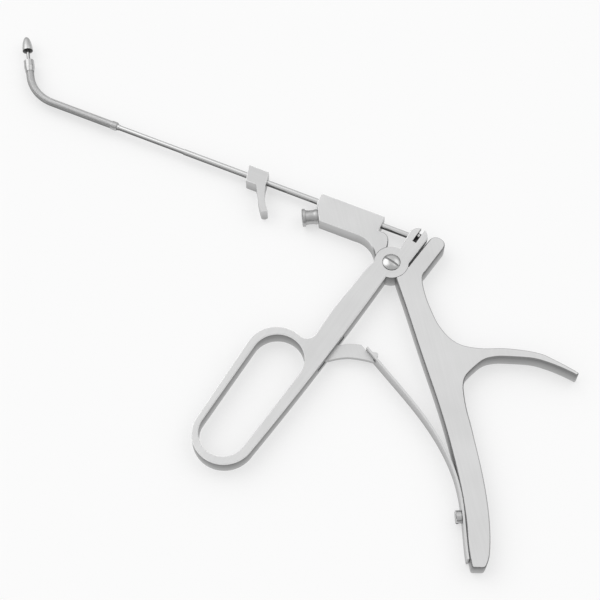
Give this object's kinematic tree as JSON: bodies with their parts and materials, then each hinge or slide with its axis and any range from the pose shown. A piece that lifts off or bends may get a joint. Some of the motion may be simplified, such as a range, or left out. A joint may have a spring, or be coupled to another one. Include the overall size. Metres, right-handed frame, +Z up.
{
  "type": "sinus punch forceps",
  "caption": "Circular-cutting sinus punch with an upturned egg-shaped head, sliding tube and coil, ring handle, rear grip, leaf spring and side cleaning port.",
  "frame": {"origin": "pivot axis of the handles, on the plane that the instrument lies on", "axes": "+X along the straight shaft from the head towards the hand, +Y from the pivot to the shaft, +Z up through the plates' thickness"},
  "size_m": [0.2865, 0.1549, 0.0092],
  "materials": {
    "satin_steel": "satin, fine brushed grain",
    "polished_steel": "polished steel",
    "polished_tube": "drawn and polished steel tube",
    "coil_wire": "matt close-wound steel wire",
    "spring_steel": "ground spring steel"
  },
  "bodies": {
    "fixed": {"fixed_handle": "satin_steel", "pivot_screw": "polished_steel", "inner_rod": "polished_steel", "cutting_head": "polished_steel", "anchor_pin": "polished_steel", "luer_hub": "polished_steel", "spring_screw": "polished_steel"},
    "ring_lever": {"ring_handle": "satin_steel", "link_pin": "polished_steel"},
    "tube": {"drive_tube": "polished_tube", "drive_tang": "satin_steel", "drive_pin": "polished_steel", "finger_spur": "satin_steel", "spur_screw": "polished_steel", "sheath_ferrule": "polished_steel", "flex_sheath": "coil_wire"},
    "cutter": {"cutting_ring": "polished_steel"},
    "link": {"spring_link": "spring_steel"},
    "leaf": {"leaf_spring": "spring_steel"}
  },
  "joints": [
    {"name": "handle_squeeze", "type": "hinge", "parent": "fixed", "child": "ring_lever", "pos_m": [0, 0, 0.004], "axis": [0, 0, 1], "range_deg": [0, 18], "stiffness_Nm_per_rad": 0.5, "springref_deg": -20.05},
    {"name": "tube_slide", "type": "slide", "parent": "fixed", "child": "tube", "axis": [-1, 0, 0], "range_m": [0, 0.0054], "deforming": ["flex_sheath"]},
    {"name": "cutter_slide", "type": "slide", "parent": "tube", "child": "cutter", "axis": [0.4848, 0.8746, 0], "range_m": [0, 0.0054]},
    {"name": "link_swing", "type": "hinge", "parent": "ring_lever", "child": "link", "pos_m": [-0.011, -0.047, 0.004], "axis": [0, 0, 1], "range_deg": [0, 23]},
    {"name": "leaf_flex", "type": "hinge", "parent": "fixed", "child": "leaf", "pos_m": [0.057, -0.077, 0.004], "axis": [0, 0, 1], "range_deg": [-12, 0], "deforming": ["leaf_spring"]}
  ],
  "couplings": [
    {"joint": "tube_slide", "follows": "handle_squeeze", "m_per_rad": 0.016807},
    {"joint": "cutter_slide", "follows": "handle_squeeze", "m_per_rad": 0.016296},
    {"joint": "link_swing", "follows": "handle_squeeze", "ratio": 1.23},
    {"joint": "leaf_flex", "follows": "handle_squeeze", "ratio": -0.62}
  ]
}
